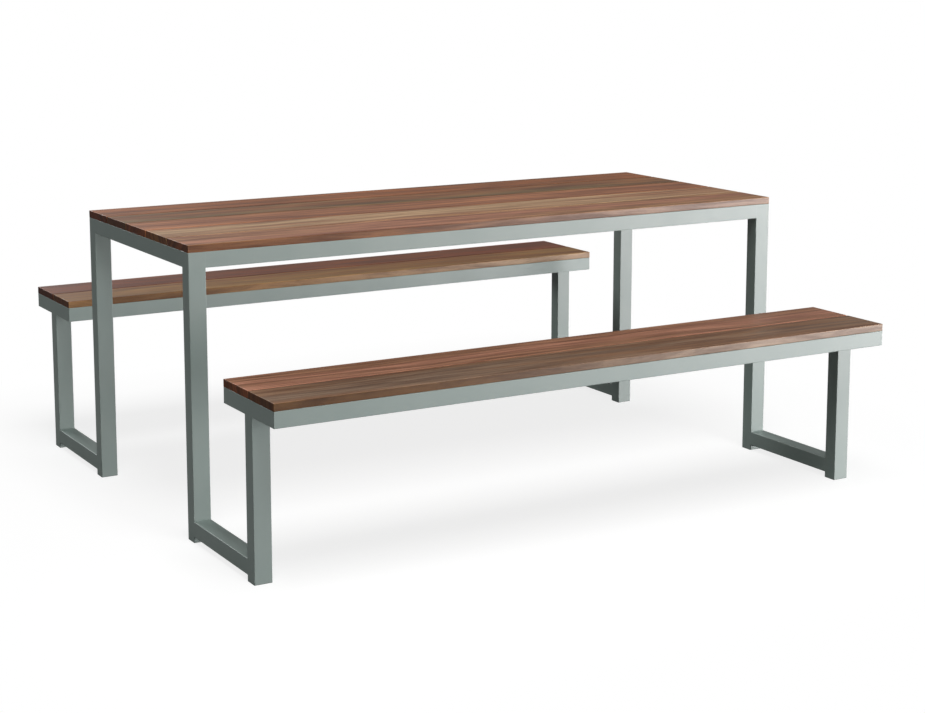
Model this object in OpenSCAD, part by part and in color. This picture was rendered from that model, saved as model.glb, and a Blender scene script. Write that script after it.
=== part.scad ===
// Outdoor table and bench set: one welded frame of rectangular tube carries a table top and two
// seats of hardwood boards. The origin is on the floor under the middle of the table, +X runs
// along the length to the right, +Y runs away from the front bench to the rear one, and +Z is up.

/* [Overall] */
// Length of the table top and of both seats
set_length = 1800; // [1200:10:2400]
// Height of the table top above the floor
table_height = 750; // [650:5:800]
// Height of the seats above the floor
seat_height = 460; // [400:5:500]
// Width of the way in between the table's edge and each seat's edge
entry_gap = 205; // [120:5:350]

/* [Boards] */
// Boards across the table top
table_board_count = 5; // [4:1:7]
// Boards across each seat
seat_board_count = 2; // [2:1:3]
// Width of a board
board_width = 140; // [110:1:160]
// Thickness of a board
board_thickness = 19; // [17:1:32]
// Gap between neighbouring boards
board_gap = 5; // [3:0.5:10]
// Radius of a board's long edges
board_edge_radius = 2; // [1:0.25:4]
// Radius of the edges round a board's sawn ends
board_end_radius = 0.75; // [0.5:0.25:1]

/* [Frame tube] */
// Width of the tube: along the length in legs, stretchers and end rails, across it in long rails
tube_width = 46; // [36:1:60]
// Depth of the tube: upright in rails and stretchers, front to back in legs
tube_depth = 40; // [30:1:60]
// Wall of the tube
tube_wall = 2; // [1.5:0.25:4]
// Outer corner radius of the tube
tube_radius = 1.5; // [0.5:0.25:2]
// Height of the stretchers' undersides above the floor
stretcher_lift = 15; // [8:1:80]

/* [Cross bars] */
// Cross bars under the table top, and under each seat
cross_bar_count = 5; // [3:1:7]
// Width of a cross bar
cross_bar_width = 40; // [30:1:60]
// Depth of a cross bar
cross_bar_depth = 20; // [15:1:28]
// Wall of a cross bar
cross_bar_wall = 2; // [1.5:0.25:3]
// Distance from an end rail to the nearest cross bar
cross_bar_inset = 30; // [5:5:80]

/* [Screws] */
// Diameter of a board screw's shank
screw_diameter = 5; // [4:0.5:6]
// Diameter of a board screw's head
screw_head_diameter = 10; // [9:0.5:12]
// Diameter of the flat face of the head, which tapers down to it
screw_face_diameter = 7; // [6:0.5:8.5]
// Height of a board screw's head
screw_head_height = 3; // [2.5:0.1:4]
// Width across the flats of the hexagon socket in the head
screw_socket_width = 3; // [2.5:0.5:4]
// Depth of the hexagon socket
screw_socket_depth = 1.8; // [1:0.1:2]
// How far a screw reaches into its board
screw_bite = 13; // [8:1:14]
// Length of a screw's pointed tip
screw_tip = 3; // [2:0.5:5]
// Diameter of the blunt end of the tip
screw_point_diameter = 1; // [0.5:0.25:2]
// Distance from a screw's axis to its board's edge
screw_edge_distance = 30; // [20:1:40]
// Least distance from a screw's axis to the end of its cross bar
screw_bar_margin = 16; // [12:1:20]

/* [Foot plugs] */
// Thickness of the flange that stands on the floor
foot_flange = 2; // [1:0.5:5]
// How far a foot plug reaches up into its leg
foot_depth = 18; // [10:1:30]
// Wall of the part inside the leg
foot_wall = 2.5; // [1.5:0.5:4]

/* [Clearances] */
// Clearance round a foot plug inside its leg
foot_clearance = 0.2; // [0.1:0.05:0.4]
// Clearance round a screw in its cross bar
screw_clearance = 0.25; // [0.1:0.05:0.5]
// Clearance round a screw, and past its tip, in its pilot hole
pilot_clearance = 0.1; // [0.05:0.05:0.2]

/* [Hidden] */
$fn = 48;
hexagon = 6;
// How far a cutting shape reaches past the solid that it cuts
over = 10;

// Widths of the top and of a seat, from the boards and their gaps
board_pitch = board_width + board_gap;
table_width = table_board_count * board_pitch - board_gap;
seat_width = seat_board_count * board_pitch - board_gap;

// Heights of the rail frames' upper faces, which the boards lie on
table_frame_top = table_height - board_thickness;
seat_frame_top = seat_height - board_thickness;

// Places of the left ends and front sides: the other ones are mirrored from them
left_end = -set_length / 2;
inner_left = left_end + tube_width;
leg_x = left_end + tube_width / 2;
table_front = -table_width / 2;
table_leg_y = table_front + tube_depth / 2;
seat_y = table_front - entry_gap - seat_width / 2;
seat_leg_face = seat_y + tube_depth / 2;

pilot_diameter = screw_diameter + 2 * pilot_clearance;

// Row of cross bars between the end rails
bar_row = set_length - 2 * (tube_width + cross_bar_inset) - cross_bar_width;
bar_pitch = bar_row / (cross_bar_count - 1);

left = -1;
right = 1;
front = -1;
rear = 1;

paint = [0.42, 0.48, 0.45];
bare_steel = [0.72, 0.72, 0.70];
nylon = [0.30, 0.33, 0.32];
table_tones = [
    [0.56, 0.39, 0.33], [0.58, 0.48, 0.40], [0.57, 0.41, 0.33], [0.46, 0.39, 0.34],
    [0.54, 0.37, 0.31]
];
front_bench_tones = [[0.46, 0.37, 0.31], [0.53, 0.36, 0.29]];
rear_bench_tones = [[0.47, 0.34, 0.28], [0.54, 0.44, 0.36]];

function tone(tones, i) = tones[(i - 1) % len(tones)];

// Middle of board i of a row, counted from 1, from the row's own middle
function board_offset(i, count) = (i - (count + 1) / 2) * board_pitch;

function cross_bar_x(i) = -bar_row / 2 + (i - 1) * bar_pitch;

// Screws of one cross bar, from the row's middle: two for each board, at its edges or, where the
// bar ends first, as near to the edge as the bar allows
function screw_offsets(count, bar_length) = [
    for (i = [1:count], edge = [-1, 1])
        let (wanted = board_offset(i, count) + edge * (board_width / 2 - screw_edge_distance))
        let (limit = bar_length / 2 - screw_bar_margin)
        max(-limit, min(limit, wanted))
];

table_bar_length = table_width - 2 * tube_width;
seat_bar_length = seat_width - 2 * tube_width;
table_holes = screw_offsets(table_board_count, table_bar_length);
seat_holes = screw_offsets(seat_board_count, seat_bar_length);

// Everything is drawn for the left end and the front side, and these mirror it to the others

module at_end(end) {
    if (end == right) mirror([1, 0, 0]) children();
    else children();
}

module at_side(side) {
    if (side == rear) mirror([0, 1, 0]) children();
    else children();
}

// Flat shapes

module rounded_rectangle(width, height, radius) {
    square([width - 2 * radius, height], center = true);
    square([width, height - 2 * radius], center = true);
    for (x = [-1, 1], y = [-1, 1])
        translate([x * (width / 2 - radius), y * (height / 2 - radius)]) circle(radius);
}

module tube_section(width, depth, wall) {
    difference() {
        rounded_rectangle(width, depth, tube_radius);
        square([width - 2 * wall, depth - 2 * wall], center = true);
    }
}

// Straight runs of a flat shape, from one place to another along an axis. A run along X keeps the
// shape's width across it and a run along Y keeps it along X, and both keep its height upright

module run_x(from, to) {
    translate([from, 0, 0]) rotate([90, 0, 90]) linear_extrude(to - from) children();
}

module run_y(from, to) {
    translate([0, from, 0]) rotate([-90, 0, 0]) linear_extrude(to - from) mirror([0, 1]) children();
}

module run_z(from, to) {
    translate([0, 0, from]) linear_extrude(to - from) children();
}

// A square bar of weld metal that fills a tube's rounded corner, so that the next tube's end
// meets a sharp corner and the dressed joint is flush
module corner_fill(corner, size) {
    translate(corner) cube(size);
}

// Boards

module board(y, underside, pilot_holes) {
    middle = underside + board_thickness / 2;
    difference() {
        intersection() {
            translate([0, y, middle]) run_x(left_end, -left_end)
                rounded_rectangle(board_width, board_thickness, board_edge_radius);
            translate([0, 0, middle]) run_y(y - board_width, y + board_width)
                rounded_rectangle(set_length, board_thickness, board_end_radius);
            translate([0, y, 0]) run_z(underside - over, underside + board_thickness + over)
                rounded_rectangle(set_length, board_width, board_end_radius);
        }
        for (i = [1:cross_bar_count], hole = pilot_holes)
            translate([cross_bar_x(i), hole, underside - over])
                cylinder(d = pilot_diameter, h = over + screw_bite + pilot_clearance);
    }
}

// Those of a row's screws that go into the board whose middle is at y
function holes_near(y, offsets) = [for (hole = offsets) if (abs(hole - y) < board_width / 2) hole];

module table_board(i) {
    y = board_offset(i, table_board_count);
    color(tone(table_tones, i))
        board(y, table_frame_top, holes_near(y, table_holes));
}

module seat_board(side, i) {
    y = board_offset(i, seat_board_count);
    tones = side == front ? front_bench_tones : rear_bench_tones;
    color(tone(tones, i))
        at_side(side) translate([0, seat_y, 0]) board(y, seat_frame_top, holes_near(y, seat_holes));
}

// Table frame. Each end is a leg, an end rail and a leg, mitred together and rounded at the two
// outer corners, and the long rails stand between the two ends

module end_frame_outline() {
    run_x(left_end - over, inner_left + over)
        rounded_rectangle(table_width, 2 * table_frame_top, tube_radius);
}

module leg_mitre() {
    run_x(left_end - over, inner_left + over) polygon([
        [table_front - over, 0],
        [table_front - over, table_frame_top + over],
        [table_front + tube_depth + over, table_frame_top - tube_depth - over],
        [table_front + tube_depth + over, 0]
    ]);
}

module end_rail_mitre() {
    run_x(left_end - over, inner_left + over) polygon([
        [table_front - over, table_frame_top + over],
        [-table_front + over, table_frame_top + over],
        [-table_front - tube_depth - over, table_frame_top - tube_depth - over],
        [table_front + tube_depth + over, table_frame_top - tube_depth - over]
    ]);
}

// Fills for the leg corners that a stretcher's end meets. They reach from y in the +Y direction
module stretcher_fills(y) {
    for (x = [left_end, inner_left - tube_radius])
        corner_fill([x, y, stretcher_lift], [tube_radius, tube_radius, tube_depth]);
}

module table_leg(end, side) {
    color(paint) at_end(end) at_side(side) intersection() {
        union() {
            translate([leg_x, table_leg_y, 0]) run_z(foot_flange, table_frame_top)
                tube_section(tube_width, tube_depth, tube_wall);
            stretcher_fills(table_front);
            corner_fill(
                [inner_left - tube_radius, table_front, table_frame_top - tube_depth],
                [tube_radius, tube_radius, tube_depth]
            );
        }
        leg_mitre();
        end_frame_outline();
    }
}

module table_end_rail(end) {
    color(paint) at_end(end) intersection() {
        union() {
            translate([leg_x, 0, table_frame_top - tube_depth / 2]) run_y(table_front, -table_front)
                tube_section(tube_width, tube_depth, tube_wall);
            for (y = [table_front, -table_front - tube_width])
                for (z = [table_frame_top - tube_depth, table_frame_top - tube_radius])
                    corner_fill(
                        [inner_left - tube_radius, y, z],
                        [tube_radius, tube_width, tube_radius]
                    );
        }
        end_rail_mitre();
        end_frame_outline();
    }
}

module table_long_rail(side) {
    color(paint) at_side(side)
        translate([0, table_front + tube_width / 2, table_frame_top - tube_depth / 2])
            run_x(inner_left, -inner_left) tube_section(tube_width, tube_depth, tube_wall);
}

// Seat frames. Four rails mitred into a rectangle, with a leg under the middle of each end rail

module seat_outline() {
    run_z(seat_frame_top - tube_depth - over, seat_frame_top + over)
        rounded_rectangle(set_length, seat_width, tube_radius);
}

// Space of the rail along the seat's front side, cut at 45 degrees through the frame's corners
module seat_long_mitre() {
    run_z(seat_frame_top - tube_depth - over, seat_frame_top + over) polygon([
        [left_end - over, -seat_width / 2 - over],
        [-left_end + over, -seat_width / 2 - over],
        [-left_end - tube_width - over, -seat_width / 2 + tube_width + over],
        [left_end + tube_width + over, -seat_width / 2 + tube_width + over]
    ]);
}

module seat_end_mitre() {
    run_z(seat_frame_top - tube_depth - over, seat_frame_top + over) polygon([
        [left_end - over, -seat_width / 2 - over],
        [left_end - over, seat_width / 2 + over],
        [left_end + tube_width + over, seat_width / 2 - tube_width - over],
        [left_end + tube_width + over, -seat_width / 2 + tube_width + over]
    ]);
}

// One of the two long rails: face is front for the rail on the side away from the table
module seat_long_rail(side, face) {
    color(paint) at_side(side) translate([0, seat_y, 0]) at_side(face) intersection() {
        translate([0, -seat_width / 2 + tube_width / 2, seat_frame_top - tube_depth / 2])
            run_x(left_end, -left_end) tube_section(tube_width, tube_depth, tube_wall);
        seat_long_mitre();
        seat_outline();
    }
}

module seat_end_rail(side, end) {
    color(paint) at_side(side) at_end(end) translate([0, seat_y, 0]) intersection() {
        union() {
            translate([leg_x, 0, seat_frame_top - tube_depth / 2])
                run_y(-seat_width / 2, seat_width / 2)
                    tube_section(tube_width, tube_depth, tube_wall);
            for (x = [left_end, inner_left - tube_radius])
                corner_fill(
                    [x, -tube_depth / 2, seat_frame_top - tube_depth],
                    [tube_radius, tube_depth, tube_radius]
                );
        }
        seat_end_mitre();
        seat_outline();
    }
}

module seat_leg(side, end) {
    color(paint) at_side(side) at_end(end) union() {
        translate([leg_x, seat_y, 0]) run_z(foot_flange, seat_frame_top - tube_depth)
            tube_section(tube_width, tube_depth, tube_wall);
        stretcher_fills(seat_leg_face - tube_radius);
    }
}

module stretcher(end, side) {
    color(paint) at_end(end) at_side(side)
        translate([leg_x, 0, stretcher_lift + tube_depth / 2])
            run_y(seat_leg_face, table_front) tube_section(tube_width, tube_depth, tube_wall);
}

// Cross bars, drilled right through for the board screws

module cross_bar(i, y, top, bar_length, holes) {
    color(paint) difference() {
        translate([cross_bar_x(i), 0, top - cross_bar_depth / 2])
            run_y(y - bar_length / 2, y + bar_length / 2)
                tube_section(cross_bar_width, cross_bar_depth, cross_bar_wall);
        for (hole = holes)
            translate([cross_bar_x(i), y + hole, top - cross_bar_depth - over])
                cylinder(r = screw_diameter / 2 + screw_clearance, h = cross_bar_depth + 2 * over);
    }
}

module table_cross_bar(i) {
    cross_bar(i, 0, table_frame_top, table_bar_length, table_holes);
}

module seat_cross_bar(side, i) {
    at_side(side) cross_bar(i, seat_y, seat_frame_top, seat_bar_length, seat_holes);
}

// Board screws, driven up through the cross bars, with the underside of the head at the origin

module board_screw() {
    shank = cross_bar_depth + screw_bite;
    socket_corners = screw_socket_width / cos(180 / hexagon);
    difference() {
        union() {
            translate([0, 0, -screw_head_height])
                cylinder(d1 = screw_face_diameter, d2 = screw_head_diameter, h = screw_head_height);
            cylinder(d = screw_diameter, h = shank - screw_tip);
            translate([0, 0, shank - screw_tip])
                cylinder(d1 = screw_diameter, d2 = screw_point_diameter, h = screw_tip);
        }
        translate([0, 0, -screw_head_height - over])
            cylinder(d = socket_corners, h = over + screw_socket_depth, $fn = hexagon);
    }
}

module screw_rows(y, top, offsets) {
    color(bare_steel)
        for (i = [1:cross_bar_count], place = offsets)
            translate([cross_bar_x(i), y + place, top - cross_bar_depth]) board_screw();
}

module table_screws() {
    screw_rows(0, table_frame_top, table_holes);
}

module seat_screws(side) {
    at_side(side) screw_rows(seat_y, seat_frame_top, seat_holes);
}

// Foot plugs: a flange under the leg's end and a hollow part inside it

module foot_plug() {
    plug_width = tube_width - 2 * (tube_wall + foot_clearance);
    plug_depth = tube_depth - 2 * (tube_wall + foot_clearance);
    union() {
        run_z(0, foot_flange) rounded_rectangle(tube_width, tube_depth, tube_radius);
        run_z(foot_flange, foot_flange + foot_depth) difference() {
            square([plug_width, plug_depth], center = true);
            square([plug_width - 2 * foot_wall, plug_depth - 2 * foot_wall], center = true);
        }
    }
}

module table_foot_plugs() {
    color(nylon)
        for (end = [left, right], side = [front, rear])
            at_end(end) at_side(side) translate([leg_x, table_leg_y, 0]) foot_plug();
}

module seat_foot_plugs(side) {
    color(nylon)
        for (end = [left, right])
            at_side(side) at_end(end) translate([leg_x, seat_y, 0]) foot_plug();
}

for (i = [1:table_board_count])
    table_board(i);
table_long_rail(front);  // table_front_rail
table_long_rail(rear);  // table_rear_rail
table_end_rail(left);  // table_left_end_rail
table_end_rail(right);  // table_right_end_rail
for (i = [1:cross_bar_count])
    table_cross_bar(i);
table_leg(left, front);  // table_leg_front_left
table_leg(right, front);  // table_leg_front_right
table_leg(left, rear);  // table_leg_rear_left
table_leg(right, rear);  // table_leg_rear_right

for (i = [1:seat_board_count])
    seat_board(front, i);
seat_long_rail(front, front);  // front_bench_outer_rail
seat_long_rail(front, rear);  // front_bench_inner_rail
seat_end_rail(front, left);  // front_bench_left_end_rail
seat_end_rail(front, right);  // front_bench_right_end_rail
for (i = [1:cross_bar_count])
    seat_cross_bar(front, i);
seat_leg(front, left);  // front_bench_leg_left
seat_leg(front, right);  // front_bench_leg_right

for (i = [1:seat_board_count])
    seat_board(rear, i);
seat_long_rail(rear, front);  // rear_bench_outer_rail
seat_long_rail(rear, rear);  // rear_bench_inner_rail
seat_end_rail(rear, left);  // rear_bench_left_end_rail
seat_end_rail(rear, right);  // rear_bench_right_end_rail
for (i = [1:cross_bar_count])
    seat_cross_bar(rear, i);
seat_leg(rear, left);  // rear_bench_leg_left
seat_leg(rear, right);  // rear_bench_leg_right

stretcher(left, front);  // stretcher_front_left
stretcher(right, front);  // stretcher_front_right
stretcher(left, rear);  // stretcher_rear_left
stretcher(right, rear);  // stretcher_rear_right

table_screws();
seat_screws(front);  // front_bench_screws
seat_screws(rear);  // rear_bench_screws
table_foot_plugs();
seat_foot_plugs(front);  // front_bench_foot_plugs
seat_foot_plugs(rear);  // rear_bench_foot_plugs
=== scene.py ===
"""Table and bench set: looks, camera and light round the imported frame.

Lengths are in metres and angles in degrees. +X is right, +Y is away from the viewer and +Z is up.
"""
import math
import random

import bmesh
import bpy
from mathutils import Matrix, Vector


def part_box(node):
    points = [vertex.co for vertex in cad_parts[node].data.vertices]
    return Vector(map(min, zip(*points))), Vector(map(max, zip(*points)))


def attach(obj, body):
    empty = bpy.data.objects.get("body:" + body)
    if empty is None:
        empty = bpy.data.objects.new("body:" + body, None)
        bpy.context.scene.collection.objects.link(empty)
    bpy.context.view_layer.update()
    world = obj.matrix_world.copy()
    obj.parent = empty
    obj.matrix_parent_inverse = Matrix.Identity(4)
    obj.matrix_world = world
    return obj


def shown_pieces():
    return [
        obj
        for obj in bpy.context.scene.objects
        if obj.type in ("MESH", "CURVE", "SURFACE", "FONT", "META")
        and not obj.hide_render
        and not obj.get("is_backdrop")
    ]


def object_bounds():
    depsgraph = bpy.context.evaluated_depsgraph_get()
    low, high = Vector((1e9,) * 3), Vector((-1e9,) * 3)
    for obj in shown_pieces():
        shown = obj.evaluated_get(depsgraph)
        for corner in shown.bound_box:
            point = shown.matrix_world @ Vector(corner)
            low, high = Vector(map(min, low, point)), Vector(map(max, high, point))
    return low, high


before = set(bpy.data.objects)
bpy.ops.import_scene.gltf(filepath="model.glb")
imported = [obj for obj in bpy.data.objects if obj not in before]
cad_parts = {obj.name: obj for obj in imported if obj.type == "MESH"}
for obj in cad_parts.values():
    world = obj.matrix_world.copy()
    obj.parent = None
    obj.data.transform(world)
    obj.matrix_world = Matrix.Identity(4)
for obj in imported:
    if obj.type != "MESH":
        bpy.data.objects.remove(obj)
CAD_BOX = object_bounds()

ROOT = "root"

# Camera: it stands at the photo's front left and looks down a little. Its sensor is in millimetres.
IMAGE_WIDTH = 925
SENSOR_WIDTH = 36.0
FOCAL_PIXELS = 1877.2
CAMERA_PLACE = (-2.5812, -4.5864, 1.4582)
CAMERA_YAW = -30.124
CAMERA_PITCH = 8.945
CAMERA_SHIFT = -0.12

# Background: its strength as a light, and the share of its white that reflections show.
AMBIENT = 0.10
GLOSS_SHARE = 0.16

# Lamps: the top lamp throws the shadow on the floor, and the others light only the set. The side
# panel reaches below the floor line, so that low rails take the same gloss from it as high ones.
TOP_LAMP = {
    "angle": -13, "distance": 3.70, "height": 8.30, "aim": 0.45,
    "size": (4.5, 4.5), "power": 450,
}
SET_LAMPS = {
    "side": {
        "angle": 52, "distance": 6.0, "height": 0.38, "aim": 0.38,
        "size": (4.8, 2.2), "power": 545, "colour": (1.0, 0.94, 0.96),
    },
    "left": {
        "angle": 268, "distance": 12.0, "height": 0.80, "aim": 0.45,
        "size": (3.0, 3.0), "power": 50,
    },
    "back": {
        "angle": 192, "distance": 7.0, "height": 4.60, "aim": 0.45,
        "size": (3.0, 3.0), "power": 430,
    },
}

# Floor: it bounces light as a pale grey and glows to the camera, and between these two distances
# outside the set it fades into pure white.
FLOOR_HALF = 30.0
FLOOR_ALBEDO = 0.32
FLOOR_GLOW = 0.815
FADE_START = 0.30
FADE_END = 0.75

# Patterns: a noise's scale is its cells in a metre, and most of its values lie in NOISE_RANGE. A
# relief is a bump's height and its strength. A tone is a display colour from 0 to 255.
NOISE_RANGE = (0.3, 0.7)
NOISE_MIDDLE = 0.5

# Paint: satin powder coat over welded tube, with a painted highlight that makes it paler close to an
# edge.
PAINT_TONE = (135, 149, 144)
PAINT_CLOUD_TONE = (131, 146, 141)
PAINT_EDGE_HIGHLIGHT_TONE = (148, 161, 156)
PAINT_EDGE_HIGHLIGHT_SHARE = 0.45
PAINT_EDGE_HIGHLIGHT_WIDTH = 0.0016
PAINT_CLOUD_SCALE = 9.0
PAINT_ROUGHNESS = 0.42
PAINT_ROUGHNESS_SPREAD = 0.012
ORANGE_PEEL_CELL = 0.0018
ORANGE_PEEL_RELIEF = (0.0001, 0.2)

# Boards: each one's tone, the tone that its streaks drift to, and the tone of its sides, which is
# the sides' own colour with painted light in it. Where there is a fourth, it is a painted highlight,
# and the sides turn into it over this stretch of the board, from left to right.
BOARDS = {
    "table_board_1": ((156, 108, 84), (146, 109, 75), (114, 76, 46), (140, 120, 104)),
    "table_board_2": ((176, 146, 112), (148, 108, 79), (188, 155, 117)),
    "table_board_3": ((160, 107, 74), (134, 88, 61), (168, 110, 74)),
    "table_board_4": ((111, 88, 58), (127, 85, 53), (116, 90, 57)),
    "table_board_5": ((142, 86, 49), (120, 76, 45), (126, 80, 52)),
    "front_bench_board_1": ((130, 106, 86), (133, 98, 71), (92, 64, 34), (150, 134, 116)),
    "front_bench_board_2": ((178, 126, 101), (151, 108, 81), (143, 97, 73)),
    "rear_bench_board_1": ((105, 55, 30), (99, 57, 33), (108, 66, 43)),
    "rear_bench_board_2": ((132, 99, 55), (115, 76, 41), (126, 94, 58), (150, 127, 100)),
}
FLANK_HIGHLIGHT_TURN = (0.20, 0.95)
FIRST_BOARD_SEED = 11

# Grain: each board is cut from its own place in an endless log. The grain sways and slants across
# the board. The heart of its growth rings runs along X, this far aside of the set's middle and this
# high over the floor.
LOG_SPREAD = 50
SWAY_SCALE = (1.3, 2.0, 2.0)
SWAY = 0.07
SLANT = (0.006, 0.020)
HEART_ASIDE = (0.35, 0.7)
HEART_HEIGHT = (0.1, 0.5)

# The growth rings' scales are along the board and out from the heart. The broad rings lie in a
# layer of their own, so that they don't repeat the fine ones.
RING_SCALE = (3.0, 80.0, 1.0)
BROAD_RING_SCALE = (1.0, 22.0, 1.0)
BROAD_RING_LAYER = 7.0
FIBRE_SCALE = (9.0, 600.0, 600.0)
PORE_SCALE = (110.0, 1500.0, 1500.0)
RING_RANGE = (0.36, 0.66)
BROAD_RING_RANGE = (0.40, 0.62)
PORE_RANGE = (0.64, 0.72)

# Wood: oiled hardwood. These lighten or darken its tone, and a painted highlight lightens the arris
# within a range from the edge.
STREAK_DARK = (0.60, 0.52, 0.48, 1.0)
STREAK_LIGHT = 1.27
FIBRE_LIGHT = (0.90, 1.08)
PORE_DARK = 0.60
END_TINT = (0.42, 0.27, 0.14, 1.0)
ARRIS_HIGHLIGHT = 1.20
ARRIS_RANGE = (0.0005, 0.0035)

# A face turns from top into side or end as its normal points that way by this much.
FACING_RANGE = (0.6, 0.9)

# The wood's gloss follows its rings and fibre, and its bump follows the fibre and pores.
WOOD_SPECULAR = 0.30
WOOD_ROUGHNESS = 0.46
WOOD_ROUGHNESS_SPREAD = 0.05
END_ROUGHNESS = 0.85
RING_GLOSS = 0.6
FIBRE_GLOSS = 0.4
GLOSS_RANGE = (0.35, 0.65)
FIBRE_RELIEF = 0.5
WOOD_RELIEF = (0.0002, 0.3)

# Screws: turned stainless steel.
STEEL_DARK_TONE = (168, 168, 166)
STEEL_LIGHT_TONE = (196, 196, 194)
STEEL_ROUGHNESS = (0.26, 0.40)
TOOL_MARK_SCALE = (400.0, 400.0, 3000.0)
TOOL_MARK_RELIEF = (0.00003, 0.5)

# Foot plugs: moulded nylon in nearly the paint's tone, scuffed by the floor.
NYLON_TONE = (122, 133, 129)
NYLON_SCUFF_TONE = (138, 147, 143)
NYLON_ROUGHNESS = (0.52, 0.70)
SCUFF_SCALE = 160.0
SCUFF_RANGE = (0.5, 0.68)
SPARK_SCALE = 2600.0
SPARK_RELIEF = (0.00005, 0.5)

# Weld beads: each is a row of ripples one pitch apart, with a convex face of a few flat sides. It
# grows from its start share to its full leg over the run-up, and its root is sunk into the metal. The
# trim keeps beads clear of the boards and of a stretcher's corners.
BEAD_LEG = 0.0025
BEAD_PITCH = 0.0022
BEAD_LEAST_RIPPLES = 4
BEAD_RIPPLE = 0.10
BEAD_JITTER = 0.05
BEAD_SIDES = 4
BEAD_BULGE = 0.80
BEAD_START = 0.55
BEAD_RUN_UP = 0.00225
BEAD_SINK = 0.0002
BEAD_TRIM = 0.003


def linear(level):
    """A display level from 0 to 1 as linear light, by the standard sRGB curve."""
    return level / 12.92 if level <= 0.04045 else ((level + 0.055) / 1.055) ** 2.4


def srgb(tone):
    """A display colour as the linear RGBA that a shader takes."""
    return (*(linear(level / 255) for level in tone), 1.0)


class Nodes:
    """Short calls that build one material's or the world's node tree."""

    def __init__(self, owner):
        owner.use_nodes = True
        self.tree = owner.node_tree
        self.tree.nodes.clear()

    def add(self, kind, **settings):
        node = self.tree.nodes.new("ShaderNode" + kind)
        for key, value in settings.items():
            setattr(node, key, value)
        return node

    def put(self, socket, value):
        if isinstance(value, bpy.types.NodeSocket):
            self.tree.links.new(value, socket)
        else:
            socket.default_value = value

    def math(self, operation, first, second=0.0, clamp=False):
        node = self.add("Math", operation=operation, use_clamp=clamp)
        self.put(node.inputs[0], first)
        self.put(node.inputs[1], second)
        return node.outputs[0]

    def hypot(self, x, y):
        squares = self.math("ADD", self.math("MULTIPLY", x, x), self.math("MULTIPLY", y, y))
        return self.math("SQRT", squares)

    def vector(self, operation, first, second):
        node = self.add("VectorMath", operation=operation)
        self.put(node.inputs[0], first)
        self.put(node.inputs["Scale" if operation == "SCALE" else 1], second)
        return node.outputs[0]

    def split(self, vector):
        node = self.add("SeparateXYZ")
        self.put(node.inputs[0], vector)
        return node.outputs

    def join(self, x, y, z):
        node = self.add("CombineXYZ")
        for socket, value in zip(node.inputs, (x, y, z)):
            self.put(socket, value)
        return node.outputs[0]

    def noise(self, place, scale, detail=2.0, roughness=0.5):
        """A noise whose scale is one number, or one for each axis."""
        if isinstance(scale, tuple):
            place = self.vector("MULTIPLY", place, scale)
            scale = 1.0
        node = self.add("TexNoise")
        self.put(node.inputs["Vector"], place)
        for name, value in (("Scale", scale), ("Detail", detail), ("Roughness", roughness)):
            node.inputs[name].default_value = value
        return node.outputs["Fac"]

    def span(self, value, low, high, to_low=0.0, to_high=1.0):
        """value taken smoothly from low..high to to_low..to_high, and held beyond."""
        node = self.add("MapRange", interpolation_type="SMOOTHSTEP")
        self.put(node.inputs["Value"], value)
        limits = {"From Min": low, "From Max": high, "To Min": to_low, "To Max": to_high}
        for name, number in limits.items():
            node.inputs[name].default_value = number
        return node.outputs["Result"]

    def mix(self, factor, first, second, blend="MIX"):
        """A mix of two colours, whose sockets on this node are inputs 6 and 7 and output 2."""
        node = self.add("Mix", data_type="RGBA", blend_type=blend)
        self.put(node.inputs[0], factor)
        self.put(node.inputs[6], first)
        self.put(node.inputs[7], second)
        return node.outputs[2]

    def bump(self, height, distance, strength):
        node = self.add("Bump")
        node.inputs["Strength"].default_value = strength
        node.inputs["Distance"].default_value = distance
        self.put(node.inputs["Height"], height)
        return node.outputs[0]

    def surface(self, **values):
        """A Principled shader with these inputs, joined to the output."""
        shader = self.add("BsdfPrincipled")
        for name, value in values.items():
            self.put(shader.inputs[name.replace("_", " ")], value)
        self.finish(shader.outputs[0])

    def finish(self, shader, kind="OutputMaterial"):
        output = self.add(kind)
        self.put(output.inputs["Surface"], shader)

    def edge_distance(self, size):
        """Distance to the nearest edge of a box of this size, which the generated coordinates fill.

        On the box's surface one of the three distances to a face is nought, and the middle one leads
        to the nearest edge. A size of None marks the axis that a tube runs along, so that its cut ends
        count as no edge.
        """
        far = 1.0
        spread = self.split(self.add("TexCoord").outputs["Generated"])
        gaps = []
        for part, length in zip(spread, size):
            if length is None:
                gaps.append(far)
                continue
            nearest = self.math("MINIMUM", part, self.math("SUBTRACT", 1.0, part))
            gaps.append(self.math("MULTIPLY", nearest, length))
        low = self.math("MINIMUM", gaps[0], gaps[1])
        high = self.math("MAXIMUM", gaps[0], gaps[1])
        return self.math("MAXIMUM", low, self.math("MINIMUM", high, gaps[2]))


def material(name):
    """A new material, and the calls that fill its node tree."""
    made = bpy.data.materials.new(name)
    return made, Nodes(made)


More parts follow.
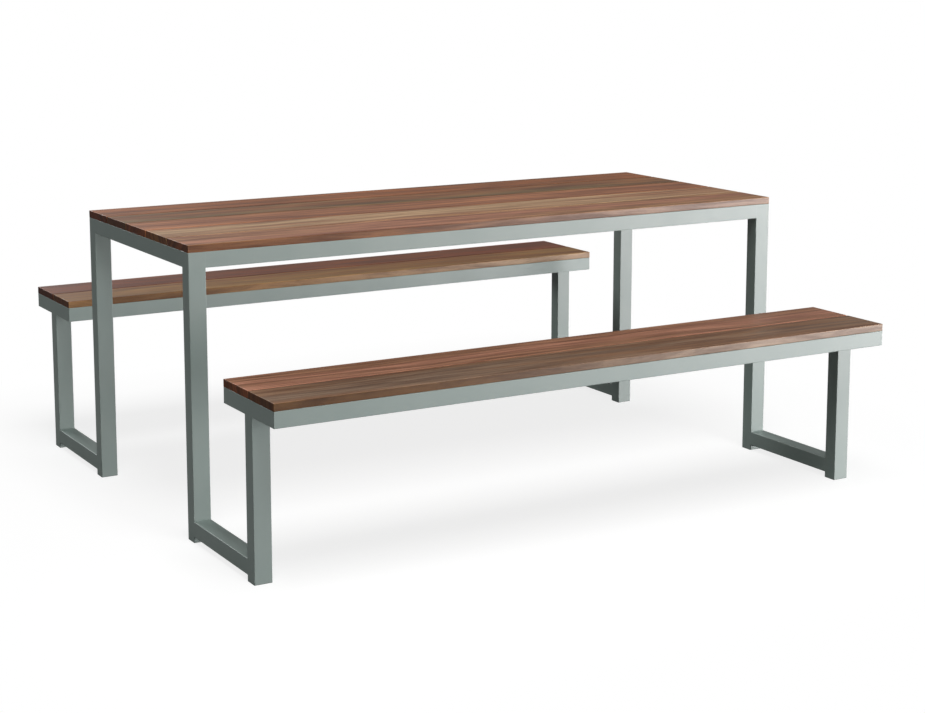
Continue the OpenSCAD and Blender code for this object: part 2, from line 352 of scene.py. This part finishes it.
def paint(name, size=None):
    """Powder coat: a fine orange peel, slightly uneven gloss, and a painted highlight that makes the
    edges paler where size is given.
    """
    made, nodes = material(name)
    place = nodes.add("TexCoord").outputs["Object"]
    cloud = nodes.noise(place, PAINT_CLOUD_SCALE, detail=3.0)
    tone = nodes.mix(nodes.span(cloud, *NOISE_RANGE), srgb(PAINT_TONE), srgb(PAINT_CLOUD_TONE))
    smooth = PAINT_ROUGHNESS - PAINT_ROUGHNESS_SPREAD
    rough = PAINT_ROUGHNESS + PAINT_ROUGHNESS_SPREAD
    # Painted highlight: where size is given, the tone turns paler close to each edge.
    if size:
        edge = nodes.span(nodes.edge_distance(size), 0.0, PAINT_EDGE_HIGHLIGHT_WIDTH, PAINT_EDGE_HIGHLIGHT_SHARE, 0.0)
        tone = nodes.mix(edge, tone, srgb(PAINT_EDGE_HIGHLIGHT_TONE))
    peel = nodes.noise(place, 1.0 / ORANGE_PEEL_CELL, detail=1.0)
    nodes.surface(
        Base_Color=tone,
        Roughness=nodes.span(cloud, *NOISE_RANGE, smooth, rough),
        Normal=nodes.bump(peel, *ORANGE_PEEL_RELIEF),
    )
    return made


def either_side(chance, low, high):
    """A random number from low to high, or from -high to -low."""
    return chance.choice((-1, 1)) * chance.uniform(low, high)


def grain(nodes, place, chance):
    """A board's fine rings, broad rings, fibre and pores, with the grain along X."""
    shift = tuple(chance.uniform(0, LOG_SPREAD) for _ in range(3))
    place = nodes.vector("ADD", place, shift)
    wander = nodes.noise(place, SWAY_SCALE)
    along, across, through = nodes.split(place)
    sway = nodes.math("MULTIPLY", nodes.math("SUBTRACT", wander, NOISE_MIDDLE), SWAY)
    slant = nodes.math("MULTIPLY", along, either_side(chance, *SLANT))
    across = nodes.math("ADD", across, nodes.math("ADD", sway, slant))

    aside = nodes.math("SUBTRACT", across, shift[1] + either_side(chance, *HEART_ASIDE))
    above = nodes.math("SUBTRACT", through, shift[2] + chance.uniform(*HEART_HEIGHT))
    radius = nodes.hypot(aside, above)
    rings = nodes.noise(nodes.join(along, radius, 0.0), RING_SCALE, detail=4.0, roughness=0.62)
    broad = nodes.noise(nodes.join(along, radius, BROAD_RING_LAYER), BROAD_RING_SCALE, roughness=0.6)

    swayed = nodes.join(along, across, through)
    fibre = nodes.noise(swayed, FIBRE_SCALE)
    pores = nodes.noise(swayed, PORE_SCALE, detail=1.0)
    return rings, broad, fibre, nodes.span(pores, *PORE_RANGE)


def timber(name, seed, size, base, drift, flank, far_flank_highlight=None):
    """Oiled hardwood. Its colour drifts from base to drift in long soft streaks.

    Its sides have their own tone, flank, which is the sides' own colour with painted light in it.
    Towards the right end it turns into a painted highlight tone, where there is one.
    """
    made, nodes = material(name)
    coords = nodes.add("TexCoord")
    rings, broad, fibre, pore = grain(nodes, coords.outputs["Object"], random.Random(seed))
    facing_x, facing_y, _ = nodes.split(coords.outputs["Normal"])
    side = nodes.span(nodes.math("ABSOLUTE", facing_y), *FACING_RANGE)
    end = nodes.span(nodes.math("ABSOLUTE", facing_x), *FACING_RANGE)

    tone = nodes.mix(nodes.span(broad, *BROAD_RING_RANGE), srgb(base), srgb(drift))
    share = nodes.split(coords.outputs["Generated"])[0]
    # The sides take the flank tone, with painted light in it, and turn into the painted highlight tone
    # towards the right end.
    side_tone = nodes.mix(nodes.span(share, *FLANK_HIGHLIGHT_TURN), srgb(flank), srgb(far_flank_highlight or flank))
    tone = nodes.mix(side, tone, side_tone)
    dark = nodes.mix(1.0, tone, STREAK_DARK, "MULTIPLY")
    light = nodes.vector("SCALE", tone, STREAK_LIGHT)
    tone = nodes.mix(nodes.span(rings, *RING_RANGE), dark, light)
    tone = nodes.vector("SCALE", tone, nodes.span(fibre, *NOISE_RANGE, *FIBRE_LIGHT))
    tone = nodes.vector("SCALE", tone, nodes.span(pore, 0.0, 1.0, 1.0, PORE_DARK))

    # End grain drinks more oil, so it is darkest.
    tone = nodes.mix(end, tone, END_TINT, "MULTIPLY")

    # A painted highlight lightens the tone along the arris.
    arris = nodes.span(nodes.edge_distance(size), *ARRIS_RANGE, ARRIS_HIGHLIGHT, 1.0)
    tone = nodes.vector("SCALE", tone, arris)

    ring_gloss = nodes.math("MULTIPLY", rings, RING_GLOSS)
    uneven = nodes.math("ADD", ring_gloss, nodes.math("MULTIPLY", fibre, FIBRE_GLOSS))
    smooth = WOOD_ROUGHNESS - WOOD_ROUGHNESS_SPREAD
    rough = WOOD_ROUGHNESS + WOOD_ROUGHNESS_SPREAD
    roughness = nodes.span(uneven, *GLOSS_RANGE, smooth, rough)
    height = nodes.math("SUBTRACT", nodes.math("MULTIPLY", fibre, FIBRE_RELIEF), pore)
    nodes.surface(
        Base_Color=tone,
        Roughness=nodes.math("MAXIMUM", roughness, nodes.math("MULTIPLY", end, END_ROUGHNESS)),
        Specular_IOR_Level=WOOD_SPECULAR,
        Normal=nodes.bump(height, *WOOD_RELIEF),
    )
    return made


def steel(name):
    """Turned stainless steel with fine tool marks round each head."""
    made, nodes = material(name)
    marks = nodes.noise(nodes.add("TexCoord").outputs["Object"], TOOL_MARK_SCALE)
    share = nodes.span(marks, *NOISE_RANGE)
    nodes.surface(
        Base_Color=nodes.mix(share, srgb(STEEL_DARK_TONE), srgb(STEEL_LIGHT_TONE)),
        Metallic=1.0,
        Roughness=nodes.span(marks, *NOISE_RANGE, *STEEL_ROUGHNESS),
        Normal=nodes.bump(marks, *TOOL_MARK_RELIEF),
    )
    return made


def nylon(name):
    """Moulded nylon with a fine spark texture and scuffs."""
    made, nodes = material(name)
    place = nodes.add("TexCoord").outputs["Object"]
    scuff = nodes.span(nodes.noise(place, SCUFF_SCALE, detail=4.0), *SCUFF_RANGE)
    nodes.surface(
        Base_Color=nodes.mix(scuff, srgb(NYLON_TONE), srgb(NYLON_SCUFF_TONE)),
        Roughness=nodes.span(scuff, 0.0, 1.0, *NYLON_ROUGHNESS),
        Normal=nodes.bump(nodes.noise(place, SPARK_SCALE), *SPARK_RELIEF),
    )
    return made


def dress(node, finish):
    """Gives every slot of a CAD node this material."""
    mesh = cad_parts[node].data
    mesh.materials.clear()
    mesh.materials.append(finish)


def size_of(node):
    low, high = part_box(node)
    return tuple(high - low)


def dress_frame():
    """Each tube takes the paint whose painted edge highlight fits the way it runs."""
    leg_width, leg_depth, _ = size_of("table_leg_front_left")
    rail_depth = size_of("table_front_rail")[2]
    bar_width, _, bar_depth = size_of("table_cross_bar_1")
    along_x = paint("frame_paint_long", (None, leg_width, rail_depth))
    along_y = paint("frame_paint_end", (leg_width, None, rail_depth))
    along_z = paint("frame_paint_leg", (leg_width, leg_depth, None))
    bar = paint("frame_paint_bar", (bar_width, None, bar_depth))
    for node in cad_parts:
        if "_board_" in node or node.endswith(("screws", "plugs")):
            continue
        if "_cross_bar_" in node:
            dress(node, bar)
        elif "_leg_" in node:
            dress(node, along_z)
        elif node.endswith("_end_rail") or node.startswith("stretcher_"):
            dress(node, along_y)
        else:
            dress(node, along_x)


def dress_boards():
    for seed, (node, tones) in enumerate(BOARDS.items(), FIRST_BOARD_SEED):
        dress(node, timber("timber_" + node, seed, size_of(node), *tones))


def dress_fittings():
    screw_steel = steel("screw_steel")
    foot_nylon = nylon("foot_nylon")
    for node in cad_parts:
        if node.endswith("screws"):
            dress(node, screw_steel)
        elif node.endswith("plugs"):
            dress(node, foot_nylon)


def add_object(name, data):
    made = bpy.data.objects.new(name, data)
    bpy.context.scene.collection.objects.link(made)
    return made


def add_mesh(name, mesh, finish):
    """An object of this bmesh, which is used up."""
    data = bpy.data.meshes.new(name)
    mesh.to_mesh(data)
    mesh.free()
    data.materials.append(finish)
    return add_object(name, data)


def bead_ring(mesh, root, side_a, side_b, leg):
    """One cross-section of a bead: its root and its convex face from side_a round to side_b."""
    ring = [mesh.verts.new(root)]
    for step in range(BEAD_SIDES + 1):
        share = step / BEAD_SIDES
        turn = math.radians(90 * share)
        chord = Vector((1 - share, share))
        arc = Vector((math.cos(turn), math.sin(turn)))
        point = chord.lerp(arc, BEAD_BULGE) * leg
        ring.append(mesh.verts.new(root + side_a * point.x + side_b * point.y))
    return ring


def bead(mesh, start, end, side_a, side_b, chance):
    """A fillet weld from start to end, in the corner whose two walls run along side_a and side_b."""
    start, end, side_a, side_b = (Vector(v) for v in (start, end, side_a, side_b))
    length = (end - start).length
    run = (end - start).normalized()
    count = max(BEAD_LEAST_RIPPLES, round(length / BEAD_PITCH))
    rings = []
    for i in range(count + 1):
        share = i / count
        from_end = min(share, 1.0 - share) * length
        taper = min(1.0, BEAD_START + (1.0 - BEAD_START) * from_end / BEAD_RUN_UP)
        ripple = BEAD_RIPPLE if i % 2 else -BEAD_RIPPLE
        leg = BEAD_LEG * taper * (1.0 + ripple + chance.uniform(-BEAD_JITTER, BEAD_JITTER))
        root = start + run * (length * share) - (side_a + side_b) * BEAD_SINK
        rings.append(bead_ring(mesh, root, side_a, side_b, leg))
    for a, b in zip(rings, rings[1:]):
        for i in range(len(a)):
            j = (i + 1) % len(a)
            mesh.faces.new((a[i], a[j], b[j], b[i]))
    mesh.faces.new(rings[0][::-1])
    mesh.faces.new(rings[-1])


def weld_piece(name, beads, finish):
    """One object that holds these beads as closed shells."""
    chance = random.Random(name)
    mesh = bmesh.new()
    for line in beads:
        bead(mesh, *line, chance)
    bmesh.ops.recalc_face_normals(mesh, faces=mesh.faces)
    for face in mesh.faces:
        face.smooth = True
    made = add_mesh(name, mesh, finish)
    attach(made, ROOT)


def stretcher_beads():
    """Beads under each stretcher, across its joints with the two legs."""
    beads = []
    for side in ("front", "rear"):
        for end in ("left", "right"):
            low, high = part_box(f"stretcher_{side}_{end}")
            left = low.x + BEAD_TRIM
            right = high.x - BEAD_TRIM
            for y, facing in ((low.y, 1), (high.y, -1)):
                beads.append(((left, y, low.z), (right, y, low.z), (0, facing, 0), (0, 0, -1)))
    return beads


def bar_beads(prefix):
    """Beads down both sides and along the underside of each cross bar's ends."""
    beads = []
    count = sum(node.startswith(f"{prefix}_cross_bar_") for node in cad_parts)
    for number in range(1, count + 1):
        low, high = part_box(f"{prefix}_cross_bar_{number}")
        top = high.z - BEAD_TRIM
        for y, facing in ((low.y, 1), (high.y, -1)):
            for x, side in ((low.x, -1), (high.x, 1)):
                beads.append(((x, y, low.z), (x, y, top), (side, 0, 0), (0, facing, 0)))
            beads.append(((low.x, y, low.z), (high.x, y, low.z), (0, facing, 0), (0, 0, -1)))
    return beads


def rail_beads(prefix, rails):
    """Upright beads inside the rail frame's four corners. Its outer joints are ground flush."""
    beads = []
    for end, inside in (("left", 1), ("right", -1)):
        end_low, end_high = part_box(f"{prefix}_{end}_end_rail")
        x = end_high.x if inside > 0 else end_low.x
        for rail in rails:
            low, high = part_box(f"{prefix}_{rail}_rail")
            inward = 1 if low.y + high.y < end_low.y + end_high.y else -1
            y = high.y if inward > 0 else low.y
            top = high.z - BEAD_TRIM
            beads.append(((x, y, low.z), (x, y, top), (inside, 0, 0), (0, inward, 0)))
    return beads


def add_welds():
    finish = paint("frame_paint_weld")
    weld_piece("stretcher_welds", stretcher_beads(), finish)
    weld_piece("table_welds", bar_beads("table") + rail_beads("table", ("front", "rear")), finish)
    for side in ("front", "rear"):
        bench = f"{side}_bench"
        weld_piece(f"{bench}_welds", bar_beads(bench) + rail_beads(bench, ("outer", "inner")), finish)


def add_camera():
    data = bpy.data.cameras.new("camera")
    data.sensor_width = SENSOR_WIDTH
    data.lens = FOCAL_PIXELS / IMAGE_WIDTH * SENSOR_WIDTH
    data.shift_y = CAMERA_SHIFT
    camera = add_object("camera", data)
    camera.location = CAMERA_PLACE
    camera.rotation_euler = (math.radians(90 - CAMERA_PITCH), 0, math.radians(CAMERA_YAW))
    bpy.context.scene.camera = camera


def seen(nodes):
    """1 for what the camera sees itself or through glass, GLOSS_SHARE in reflections, else 0."""
    path = nodes.add("LightPath")
    gloss = nodes.math("MULTIPLY", path.outputs["Is Glossy Ray"], GLOSS_SHARE)
    total = nodes.math("ADD", path.outputs["Is Camera Ray"], gloss)
    return nodes.math("ADD", total, path.outputs["Is Transmission Ray"], clamp=True)


def add_world():
    """A background that is white to the camera and dim as a light."""
    world = bpy.data.worlds.new("studio")
    bpy.context.scene.world = world
    nodes = Nodes(world)
    sky = nodes.add("Background")
    nodes.put(sky.inputs["Color"], (1.0, 1.0, 1.0, 1.0))
    strength = nodes.math("ADD", AMBIENT, nodes.math("MULTIPLY", seen(nodes), 1.0 - AMBIENT))
    nodes.put(sky.inputs["Strength"], strength)
    nodes.finish(sky.outputs[0], "OutputWorld")


def beyond(nodes, place, reach):
    """How far a place on an axis lies beyond reach, on either side."""
    return nodes.math("MAXIMUM", nodes.math("SUBTRACT", nodes.math("ABSOLUTE", place), reach), 0.0)


def floor_finish():
    """Pale grey that keeps the set's shadow and turns pure white a short way outside the set."""
    made, nodes = material("floor")
    visible = seen(nodes)
    half_length, half_width, _ = (CAD_BOX[1] - CAD_BOX[0]) / 2
    x, y, _ = nodes.split(nodes.add("TexCoord").outputs["Object"])
    outside = nodes.hypot(beyond(nodes, x, half_length), beyond(nodes, y, half_width))
    fade = nodes.math("MULTIPLY", nodes.span(outside, FADE_START, FADE_END), visible)

    level = nodes.math("MULTIPLY", FLOOR_ALBEDO, nodes.math("SUBTRACT", 1.0, fade))
    diffuse = nodes.add("BsdfDiffuse")
    nodes.put(diffuse.inputs["Color"], nodes.join(level, level, level))

    strength = nodes.math("ADD", FLOOR_GLOW, nodes.math("MULTIPLY", fade, 1.0 - FLOOR_GLOW))
    glow = nodes.add("Emission")
    nodes.put(glow.inputs["Strength"], nodes.math("MULTIPLY", strength, visible))

    total = nodes.add("AddShader")
    nodes.put(total.inputs[0], diffuse.outputs[0])
    nodes.put(total.inputs[1], glow.outputs[0])
    nodes.finish(total.outputs[0])
    return made


def add_floor():
    mesh = bmesh.new()
    corners = [(-1, -1), (1, -1), (1, 1), (-1, 1)]
    mesh.faces.new([mesh.verts.new((FLOOR_HALF * a, FLOOR_HALF * b, 0.0)) for a, b in corners])
    add_mesh("floor", mesh, floor_finish())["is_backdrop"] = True


def add_lamp(name, angle, distance, height, aim, size, power, colour=(1.0, 1.0, 1.0)):
    """A soft panel that faces the set's middle at the height aim.

    Its angle turns from the viewer's side towards the right.
    """
    turn = math.radians(angle)
    place = Vector((math.sin(turn) * distance, -math.cos(turn) * distance, height))
    data = bpy.data.lights.new(name, "AREA")
    data.shape = "RECTANGLE"
    data.size, data.size_y = size
    data.energy = power
    data.color = colour
    lamp = add_object(name, data)
    lamp.location = place
    lamp.rotation_euler = (Vector((0, 0, aim)) - place).to_track_quat("-Z", "Y").to_euler()
    return lamp


def add_lamps():
    add_lamp("top", **TOP_LAMP)
    lit = bpy.data.collections.new("lit_set")
    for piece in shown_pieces():
        lit.objects.link(piece)
    for name, settings in SET_LAMPS.items():
        linking = add_lamp(name, **settings).light_linking
        linking.receiver_collection = lit
        linking.blocker_collection = lit


bpy.context.scene.view_settings.view_transform = "Standard"
add_camera()
dress_frame()
dress_boards()
dress_fittings()
add_welds()
add_world()
add_floor()
add_lamps()
